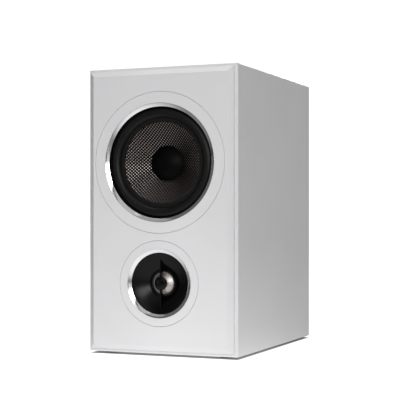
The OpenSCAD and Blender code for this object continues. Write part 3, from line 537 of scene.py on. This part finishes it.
def dress_frame(made):
    """Every CAD node takes the material of its slot in the record."""
    for part in frame["record"]["subparts"]:
        mesh = nodes[part["node"]].data
        mesh.materials.clear()
        mesh.materials.append(made[part["material_slot"]])


# ---- lathed pieces ----

def new_piece(name, points, faces, slot, smooth_angle=35):
    """A mesh object of these points and faces, smooth except at edges sharper than the angle."""
    mesh = bpy.data.meshes.new(name)
    mesh.from_pydata([tuple(p) for p in points], [], faces)
    mesh.validate()
    mesh.shade_smooth()
    mesh.set_sharp_from_angle(angle=math.radians(smooth_angle))
    mesh.materials.append(materials[slot])
    piece = bpy.data.objects.new(name, mesh)
    bpy.context.scene.collection.objects.link(piece)
    return piece


def lathe(name, z, outline, slot, steps=192, smooth_angle=35):
    """A closed (radius, depth) outline turned about a driver's axis.

    Its faces look outwards where it runs outwards in front and inwards behind.
    """
    rows = len(outline)
    points = []
    for k in range(steps):
        c, s = math.cos(2 * math.pi * k / steps), math.sin(2 * math.pi * k / steps)
        points += [(r * c, FACE_Y + d, z + r * s) for r, d in outline]
    faces = []
    for k in range(steps):
        a, b = k * rows, (k + 1) % steps * rows
        for i in range(rows):
            j = (i + 1) % rows
            faces.append((a + i, a + j, b + j, b + i))
    return new_piece(name, points, faces, slot, smooth_angle)


def rounded(corners, fillet, steps=5):
    """An outline's corners rounded by arcs. A corner (r, d, size) takes its own radius, and 0 stays sharp."""
    result = []
    count = len(corners)
    for i, corner in enumerate(corners):
        size = corner[2] if len(corner) > 2 else fillet
        here = Vector(corner[:2])
        before = Vector(corners[i - 1][:2]) - here
        after = Vector(corners[(i + 1) % count][:2]) - here
        if size <= 0:
            result.append(tuple(here))
            continue
        half = before.angle(after) / 2
        run = min(size / math.tan(half), 0.45 * before.length, 0.45 * after.length)
        size = run * math.tan(half)
        a, b = before.normalized(), after.normalized()
        centre = here + (a + b).normalized() * (size / math.sin(half))
        start, end = here + a * run - centre, here + b * run - centre
        turn = start.angle(end)
        sign = 1 if start.cross(end) > 0 else -1
        for k in range(steps + 1):
            t = sign * turn * k / steps
            result.append((centre.x + start.x * math.cos(t) - start.y * math.sin(t),
                           centre.y + start.x * math.sin(t) + start.y * math.cos(t)))
    return result


def follow_cone(piece, body, weight):
    """The piece bends between the frame and a moving diaphragm. weight(point) is 0 on the frame, 1 on it."""
    mesh = piece.data
    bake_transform(piece, "root", body, start=(0, 0, 0), end=(0, 0.01, 0))
    values = [weight(v.co) for v in mesh.vertices]
    mesh.attributes["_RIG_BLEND"].data.foreach_set("value", np.array(values, np.float32))


def smooth_step(t):
    t = min(1.0, max(0.0, t))
    return t * t * (3 - 2 * t)


def radial_weight(z, inner, outer):
    """1 inside the radius inner, 0 outside the radius outer, smooth in between."""
    return lambda co: 1 - smooth_step((math.hypot(co.x, co.z - z) - inner) / (outer - inner))


# Woofer, the sizes that the frame's boxes don't give, in metres
CHROME_IN = 76.2 * MM
CHROME_SLOPE = 2.8 * MM
TRIM_T = 4 * MM
LIP_IN = 56 * MM
ROLL_IN = 61.5 * MM
ROLL_OUT = 75 * MM
ROLL_H = 5.5 * MM
RUBBER_T = 1 * MM
COIL_R = 19 * MM
WEAVE_RELIEF = 0.36 * MM
WEAVE_MEAN = 0.45  # the height in the weave that lies on the CAD's surface
BACK_RELIEF = 0.6  # the weave's relief behind, as a share of that in front
SPIDER_WAVES = 5
SPIDER_WAVE_H = 1.6 * MM
SPIDER_T = 0.8 * MM
BEZEL_EDGE = 0.1 * MM  # a chrome ring's broken edge
BEZEL_GAP = 0.05 * MM  # what keeps a chrome ring off its seat


def bezel(name, node, z, inner, slope):
    """Chrome ring whose polished front slopes inwards, with softly broken edges.

    Known fault: the outline runs the other way round than lathe asks, so the faces look inwards.
    """
    outer = radius(node)
    seat = TRIM_T - BEZEL_GAP
    outline = rounded([(inner, slope), (inner, seat, 0), (outer, seat, 0), (outer, 0)], BEZEL_EDGE)
    piece = lathe(name, z, outline, "chrome", steps=256)
    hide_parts(node)
    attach(piece, "root")


def half_roll(inner, roll_in, roll_out, outer, mid, height, thick, bead=None, steps=28):
    """Closed outline of a surround: flat lip, half roll, flat flange and perhaps a thick outer bead."""
    half = (roll_out - roll_in) / 2
    arc = (half * half + height * height) / (2 * height)
    centre = ((roll_in + roll_out) / 2, mid - height + arc)
    reach = math.asin(min(1.0, half / arc))
    if height > half:
        reach = math.pi - reach
    front = [(inner, mid - thick / 2)]
    back = [(inner, mid + thick / 2)]
    for k in range(steps + 1):
        t = -reach + 2 * reach * k / steps
        for line, sign in ((front, 1), (back, -1)):
            r = arc + sign * thick / 2
            flat = mid - sign * thick / 2
            line.append((centre[0] + r * math.sin(t), min(flat, centre[1] - r * math.cos(t))))
    if bead:
        front += [(bead[0], mid - thick / 2), (bead[0], bead[1]), (outer, bead[1])]
    else:
        front.append((outer, mid - thick / 2))
    back.append((outer, mid + thick / 2))
    return front + back[::-1]


# Where the mesh has lines across one tow, as shares of its width. A tow is 1 wide.
TOW_LINES = (0.0, 0.15, 0.375, 0.625, 0.85)


def tow_height(u, v):
    """How high the weave stands at (u, v), counted in tows: 0 in the grooves and 1 on top of a tow.

    A tow is round across and straight along, and dips only where it goes under its neighbours.
    """
    off_u = 2 * (u - math.floor(u)) - 1
    off_v = 2 * (v - math.floor(v)) - 1
    upright = (math.floor(u) + math.floor(v)) % 2 == 0
    across, along = (off_u, off_v) if upright else (off_v, off_u)
    return (1 - across ** 2) * (1 - along ** 6)


def cone_profile():
    """Depth of the cone's front face at a radius, its thickness and the radius where its slope starts."""
    front, back = depth_of("woofer_cone")
    thick = 1.08 * MM
    rim = LIP_IN - 0.5 * MM
    drop = back - front - thick

    def depth(r):
        t = max(0.0, (rim - r) / (rim - COIL_R))
        return front + drop * (0.8 * t + 0.2 * t * t)

    return depth, thick, rim


def clipped(corner, sizes, limit, crossings, points):
    """A grid quad's part inside a circle. sizes are the points' radii, and limit is the circle's.

    With both negated it is the part outside.
    """
    result = []
    for k in range(len(corner)):
        a, b = corner[k], corner[(k + 1) % len(corner)]
        ra, rb = sizes[a], sizes[b]
        if ra <= limit:
            result.append(a)
        if (ra <= limit) != (rb <= limit):
            key = (min(a, b), max(a, b))
            if key not in crossings:
                pa, pb = np.array(points[a]), np.array(points[b])
                d = pb - pa
                qa, qb, qc = d @ d, 2 * pa @ d, pa @ pa - limit * limit
                root = math.sqrt(max(0.0, qb * qb - 4 * qa * qc))
                t = (-qb + root) / (2 * qa)
                if not 0 <= t <= 1:
                    t = (-qb - root) / (2 * qa)
                crossings[key] = len(points)
                points.append(tuple(pa + t * d))
                sizes.append(limit)
            result.append(crossings[key])
    return result


def make_cone():
    """The woven cone: a sheet with modelled tows, as thick as the CAD's, trimmed round at rim and neck."""
    depth, thick, rim = cone_profile()
    outer, inner = radius("woofer_cone"), COIL_R
    reach = math.ceil(outer / TOW) + 1
    lines = [(n + share - 0.5) * TOW for n in range(-reach, reach + 1) for share in TOW_LINES]
    side = len(lines)
    points = [(x, z) for z in lines for x in lines]
    sizes = [math.hypot(*p) for p in points]
    crossings, inner_crossings = {}, {}
    faces = []
    for k in range(side - 1):
        for i in range(side - 1):
            a = k * side + i
            quad = [a, a + 1, a + side + 1, a + side]
            near = min(sizes[q] for q in quad)
            far = max(sizes[q] for q in quad)
            if near >= outer or far <= inner:
                continue
            if far > outer:
                quad = clipped(quad, sizes, outer, crossings, points)
            if near < inner:
                sizes_out = [-r for r in sizes]
                before = len(points)
                quad = clipped(quad, sizes_out, -inner, inner_crossings, points)
                sizes += [inner] * (len(points) - before)
            if len(quad) > 2:
                faces.append(quad)
    used = sorted({q for face in faces for q in face})
    index = {q: n for n, q in enumerate(used)}
    front, back = [], []
    tiny = 1e-5
    for q in used:
        x, z = points[q]
        r = math.hypot(x, z)
        slope = (depth(r - tiny) - depth(r + tiny)) / (2 * tiny)
        lean = 1 / math.sqrt(1 + slope * slope)
        # relief along the normal, none where the surround is glued on or under the dust cap's edge
        fade = smooth_step((rim + 0.3 * MM - r) / (0.8 * MM)) * smooth_step((r - COIL_R - 2 * MM) / MM)
        lift = (tow_height(x / TOW + 0.5, z / TOW + 0.5) - WEAVE_MEAN) * WEAVE_RELIEF * fade
        nx, nz = -x / r * slope * lean * lift, -z / r * slope * lean * lift
        d = depth(r)
        front.append((x + nx, FACE_Y + d - lean * lift, WOOFER_Z + z + nz))
        behind = (tow_height(x / TOW + 1.5, z / TOW + 0.5) - WEAVE_MEAN) * WEAVE_RELIEF * fade
        back.append((x - nx, FACE_Y + d + thick + lean * behind * BACK_RELIEF, WOOFER_Z + z - nz))
    n = len(used)
    solid = [[index[q] for q in face] for face in faces]
    edges = {}
    for face in solid:
        for a, b in zip(face, face[1:] + face[:1]):
            edges[(a, b)] = edges.get((a, b), 0) + 1
    walls = [(b, a, a + n, b + n) for a, b in edges if (b, a) not in edges]
    faces = solid + [[q + n for q in reversed(face)] for face in solid] + walls
    cone = new_piece("woven_cone", front + back, faces, "woven_carbon", smooth_angle=60)
    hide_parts("woofer_cone")
    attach(cone, "woofer_diaphragm")


def make_woofer():
    bezel("woofer_bezel", "woofer_chrome_ring", WOOFER_Z, CHROME_IN, CHROME_SLOPE)

    seat = depth_of("woofer_surround")[1]
    mid = seat - RUBBER_T / 2
    outer = radius("woofer_surround")
    outline = half_roll(LIP_IN, ROLL_IN, ROLL_OUT, outer, mid, ROLL_H, RUBBER_T,
                        bead=(CHROME_IN + 0.3 * MM, TRIM_T + 0.1 * MM))
    surround = lathe("rubber_surround", WOOFER_Z, outline, "surround_rubber", smooth_angle=50)
    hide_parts("woofer_surround")
    follow_cone(surround, "woofer_diaphragm", radial_weight(WOOFER_Z, ROLL_IN, ROLL_OUT))

    make_cone()

    # Spider: corrugated disc between the coil former and the basket
    spider_mid = sum(depth_of("woofer_spider")) / 2
    edge = radius("woofer_spider")
    wave_in, wave_out = COIL_R + 3 * MM, edge - 5 * MM
    line = [(COIL_R + 0.1 * MM, spider_mid)]
    steps = 100
    for k in range(steps + 1):
        t = k / steps
        wave = SPIDER_WAVE_H * math.sin(2 * math.pi * SPIDER_WAVES * t)
        line.append((wave_in + (wave_out - wave_in) * t, spider_mid + wave))
    line.append((edge, spider_mid))
    outline = [(r, d - SPIDER_T / 2) for r, d in line] + [(r, d + SPIDER_T / 2) for r, d in line[::-1]]
    spider = lathe("corrugated_spider", WOOFER_Z, outline, "spider_cloth", steps=128)
    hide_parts("woofer_spider")
    follow_cone(spider, "woofer_diaphragm", radial_weight(WOOFER_Z, wave_in, wave_out))


# Felt pads
PAD_GRID = 5 * MM
PAD_ROUND = 0.6  # how far in a pad's edge is rounded, as a share of its thickness
LUMPS = 28  # lumps per metre, about
PIN_R = 11 * MM
PIN_DEPTH = 0.5  # as a share of the thickness


def slab_pad(name, low, high, out_axis, out_sign):
    """A felt slab between two corners. Its open side, along out_axis, is lumpy and pinned down in places."""
    in_plane = [k for k in range(3) if k != out_axis]
    a, b = in_plane
    counts = [max(8, round((high[k] - low[k]) / PAD_GRID)) for k in in_plane]
    thick = high[out_axis] - low[out_axis]
    wall = low[out_axis] if out_sign > 0 else high[out_axis]
    points, faces = [], []
    for layer in (0, 1):
        for i in range(counts[0] + 1):
            for k in range(counts[1] + 1):
                p = [0.0, 0.0, 0.0]
                p[a] = low[a] + (high[a] - low[a]) * i / counts[0]
                p[b] = low[b] + (high[b] - low[b]) * k / counts[1]
                edge = min(p[a] - low[a], high[a] - p[a], p[b] - low[b], high[b] - p[b])
                rise = 0.0
                if layer:
                    round_off = math.sqrt(1 - (1 - min(1.0, edge / (PAD_ROUND * thick))) ** 2)
                    lumps = noise.fractal(Vector((p[a], p[b], 3.7)) * LUMPS, 0.7, 2.1, 3)
                    pin = min(math.hypot(p[a] - low[a] - x * (high[a] - low[a]),
                                         p[b] - low[b] - z * (high[b] - low[b]))
                              for x in (0.25, 0.75) for z in (0.15, 0.5, 0.85))
                    dent = PIN_DEPTH * math.exp(-(pin / PIN_R) ** 2)
                    rise = thick * (0.3 + 0.7 * round_off) * (0.86 + 0.11 * lumps - dent)
                    rise = min(rise, thick)
                p[out_axis] = wall + out_sign * rise
                points.append(p)
    row = counts[1] + 1
    size = (counts[0] + 1) * row
    for i in range(counts[0]):
        for k in range(counts[1]):
            q = i * row + k
            faces.append((q, q + 1, q + row + 1, q + row))
            faces.append((size + q + row, size + q + row + 1, size + q + 1, size + q))
    ring = [(i, 0) for i in range(counts[0])] + [(counts[0], k) for k in range(counts[1])]
    ring += [(i, counts[1]) for i in range(counts[0], 0, -1)] + [(0, k) for k in range(counts[1], 0, -1)]
    loop = [i * row + k for i, k in ring]
    for q, r in zip(loop, loop[1:] + loop[:1]):
        faces.append((q, r, r + size, q + size))
    pad = new_piece(name, points, faces, "felt", smooth_angle=60)
    mend_normals(pad)
    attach(pad, "root")
    return pad


def mend_normals(piece):
    """Faces of a closed piece all turned outwards."""
    shape = bmesh.new()
    shape.from_mesh(piece.data)
    bmesh.ops.recalc_face_normals(shape, faces=shape.faces)
    shape.to_mesh(piece.data)
    shape.free()


def make_lining():
    lo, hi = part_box("acoustic_lining")
    thick = 16 * MM
    gap = 2 * MM
    left = slab_pad("left_lining", lo, (lo.x + thick, hi.y, hi.z - gap), 0, 1)
    right = slab_pad("right_lining", (hi.x - thick, lo.y, lo.z), (hi.x, hi.y, hi.z - gap), 0, -1)
    top = slab_pad("top_lining", (lo.x + thick + gap, lo.y, hi.z - thick / 2),
                   (hi.x - thick - gap, hi.y, hi.z), 2, -1)
    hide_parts("acoustic_lining")
    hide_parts("acoustic_lining")
    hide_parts("acoustic_lining")


def smooth_path(points, count):
    """count + 1 points along a Catmull-Rom curve through the points."""
    points = [Vector(p) for p in points]
    ends = [2 * points[0] - points[1]] + points + [2 * points[-1] - points[-2]]
    result = []
    spans = len(points) - 1
    for k in range(count + 1):
        t = min(k / count * spans, spans - 1e-9)
        i = int(t)
        f = t - i
        p0, p1, p2, p3 = ends[i:i + 4]
        result.append(0.5 * (2 * p1 + (p2 - p0) * f + (2 * p0 - 5 * p1 + 4 * p2 - p3) * f * f
                             + (3 * p1 - p0 - 3 * p2 + p3) * f ** 3))
    return result


def braided_lead(name, path, size, strands=4, around=16):
    """A limp braid along the path, its strands twisted round each other, with closed ends."""
    points, faces = [], []
    normal = Vector((1, 0, 0))
    length = 0
    for k, p in enumerate(path):
        ahead = path[min(k + 1, len(path) - 1)]
        before = path[max(k - 1, 0)]
        along = (ahead - before).normalized()
        normal = (normal - along * normal.dot(along)).normalized()
        side = along.cross(normal)
        if k:
            length += (p - path[k - 1]).length
        for j in range(around):
            t = 2 * math.pi * j / around
            r = size * (0.88 + 0.12 * math.cos(strands * t - length * 2200))
            points.append(p + normal * r * math.cos(t) + side * r * math.sin(t))
    for k in range(len(path) - 1):
        for j in range(around):
            a, b = k * around + j, k * around + (j + 1) % around
            faces.append((a, b, b + around, a + around))
    faces.append(tuple(range(around))[::-1])
    faces.append(tuple(len(points) - around + j for j in range(around)))
    return new_piece(name, points, faces, "tinsel_braid", smooth_angle=70)


def make_tinsel_leads():
    """From the lugs on the basket through its window to the cone's back."""
    depth, thick, _ = cone_profile()
    foot = WOOFER_Z - 60 * MM
    lug = depth_of("woofer_terminals")[0] - 0.1 * MM
    glued, held = 30 * MM, 57 * MM  # radii where a lead is glued to the cone, and where it stays still
    end = depth(glued) + thick + 0.35 * MM
    for side in (-1, 1):
        route = [(6, foot, lug), (6, foot, lug - 3.1 * MM), (6, foot, lug - 6.1 * MM),
                 (6, foot + 0.5 * MM, lug - 10.6 * MM), (6.2, foot + 7 * MM, lug - 17.6 * MM),
                 (6.6, WOOFER_Z - glued - 12 * MM, end + 8 * MM),
                 (7, WOOFER_Z - glued - 4.8 * MM, end + 5.6 * MM),
                 (7, WOOFER_Z - glued - 2.4 * MM, end + 3 * MM), (7, WOOFER_Z - glued, end)]
        path = smooth_path([(side * x * MM, FACE_Y + d, z) for x, z, d in route], 110)
        lead = braided_lead("tinsel_lead_" + ("left" if side < 0 else "right"), path, 0.8 * MM)
        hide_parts("woofer_tinsel_leads")
        follow_cone(lead, "woofer_diaphragm", radial_weight(WOOFER_Z, glued + 3 * MM, held))


# Tweeter, the sizes that the frame's boxes don't give
MOUTH_R = 42 * MM
HORN_FRONT = 3 * MM
DOME_R = 15 * MM
THROAT_R = 17.6 * MM


def make_tweeter():
    bezel("tweeter_bezel", "tweeter_chrome_ring", TWEETER_Z, MOUTH_R + 0.05 * MM, HORN_FRONT - 0.1 * MM)

    back = depth_of("tweeter_dome_surround")[1]
    thick, height = 0.4 * MM, 0.9 * MM
    roll_in, roll_out = DOME_R + 0.4 * MM, THROAT_R - 0.5 * MM
    outline = half_roll(DOME_R + 0.1 * MM, roll_in, roll_out, radius("tweeter_dome_surround"),
                        back - thick / 2, height, thick, steps=12)
    edge = lathe("dome_edge", TWEETER_Z, outline, "dome_cloth", steps=128, smooth_angle=60)
    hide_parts("tweeter_dome_surround")
    follow_cone(edge, "tweeter_diaphragm", radial_weight(TWEETER_Z, roll_in, roll_out))


add_camera()
add_studio()
materials = make_materials()
dress_frame(materials)
make_woofer()
make_tinsel_leads()
make_tweeter()
make_lining()
